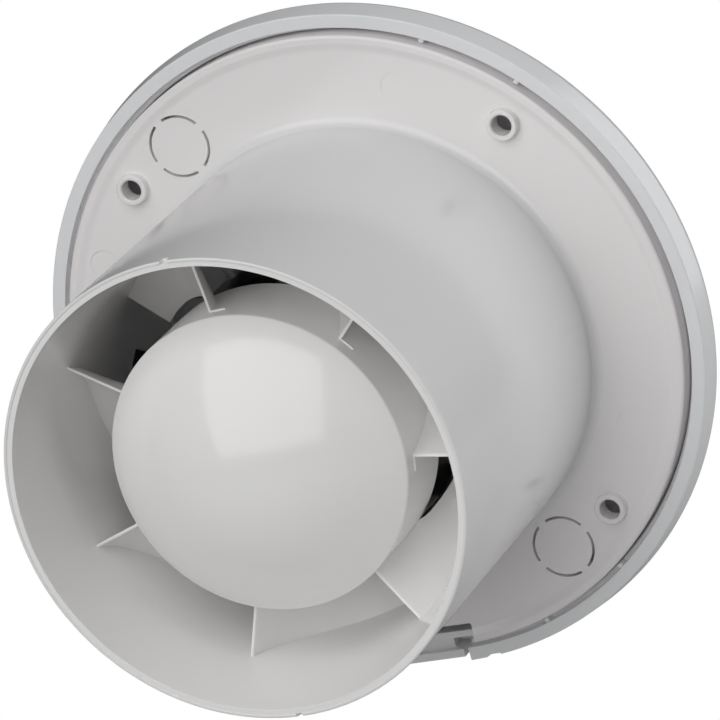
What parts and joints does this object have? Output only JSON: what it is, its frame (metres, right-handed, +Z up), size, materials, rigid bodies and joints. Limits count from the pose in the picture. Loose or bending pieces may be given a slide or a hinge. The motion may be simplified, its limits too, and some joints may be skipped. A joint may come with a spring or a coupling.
{
  "type": "extractor fan",
  "caption": "Round wall extractor fan with a long duct spigot, curved guide vanes round a domed motor hub, a black impeller and a pull-off cover with a plain front disc.",
  "frame": {"origin": "point on the fan's axis in the plane of the wall's face, which is the plane of the four screw boss faces", "axes": "+Y along the duct spigot into the wall, +Z up, so the cover faces -Y into the room"},
  "size_m": [0.1484, 0.1076, 0.1483],
  "materials": {
    "abs_white": "fine moulded satin",
    "abs_white_duct": "smooth moulded",
    "abs_white_cover": "smooth moulded satin gloss",
    "abs_white_latch": "fine moulded satin",
    "impeller_black": "glossy",
    "zinc_plate": "plated pressing",
    "lamination_steel": "stacked sheet steel",
    "bright_steel": "ground",
    "enamelled_copper": "enamelled wire",
    "rubber_black": "matt",
    "brass": "plated",
    "terminal_grey": "matt"
  },
  "bodies": {
    "housing": {"base_plate_spigot": "abs_white", "guide_vane_duct": "abs_white_duct", "motor_dome_cap": "abs_white_duct", "motor_bracket_rear": "zinc_plate", "motor_bracket_front": "zinc_plate", "motor_stator_core": "lamination_steel", "motor_winding_rear": "enamelled_copper", "motor_winding_front": "enamelled_copper", "motor_bearing_rear": "bright_steel", "motor_bearing_front": "bright_steel", "motor_bush_1": "rubber_black", "motor_bush_2": "rubber_black", "motor_bush_3": "rubber_black", "motor_screw_1": "bright_steel", "motor_screw_2": "bright_steel", "motor_screw_3": "bright_steel", "finger_guard": "abs_white_duct", "terminal_block": "terminal_grey", "terminal_screw_1": "brass", "terminal_screw_2": "brass", "terminal_screw_3": "brass", "cable_clamp": "abs_white", "clamp_screw_1": "brass", "clamp_screw_2": "brass"},
    "rotor_group": {"impeller": "impeller_black", "impeller_lock_nut": "brass", "motor_shaft": "bright_steel", "motor_rotor": "lamination_steel"},
    "cover": {"cover_ring": "abs_white_cover"},
    "front_panel": {"front_disc": "abs_white_cover"},
    "latch": {"cover_latch": "abs_white_latch"}
  },
  "joints": [
    {"name": "impeller_spin", "type": "hinge", "parent": "housing", "child": "rotor_group", "pos_m": [0, 0, 0], "axis": [0, 1, 0], "continuous": true},
    {"name": "cover_pull_off", "type": "slide", "parent": "housing", "child": "cover", "axis": [0, -1, 0], "range_m": [0, 0.04]},
    {"name": "front_disc_pull_off", "type": "slide", "parent": "cover", "child": "front_panel", "axis": [0, -1, 0], "range_m": [0, 0.02]},
    {"name": "latch_press", "type": "slide", "parent": "cover", "child": "latch", "axis": [0, 0, 1], "range_m": [0, 0.0015], "stiffness_N_per_m": 900, "springref_m": -0.0006}
  ]
}
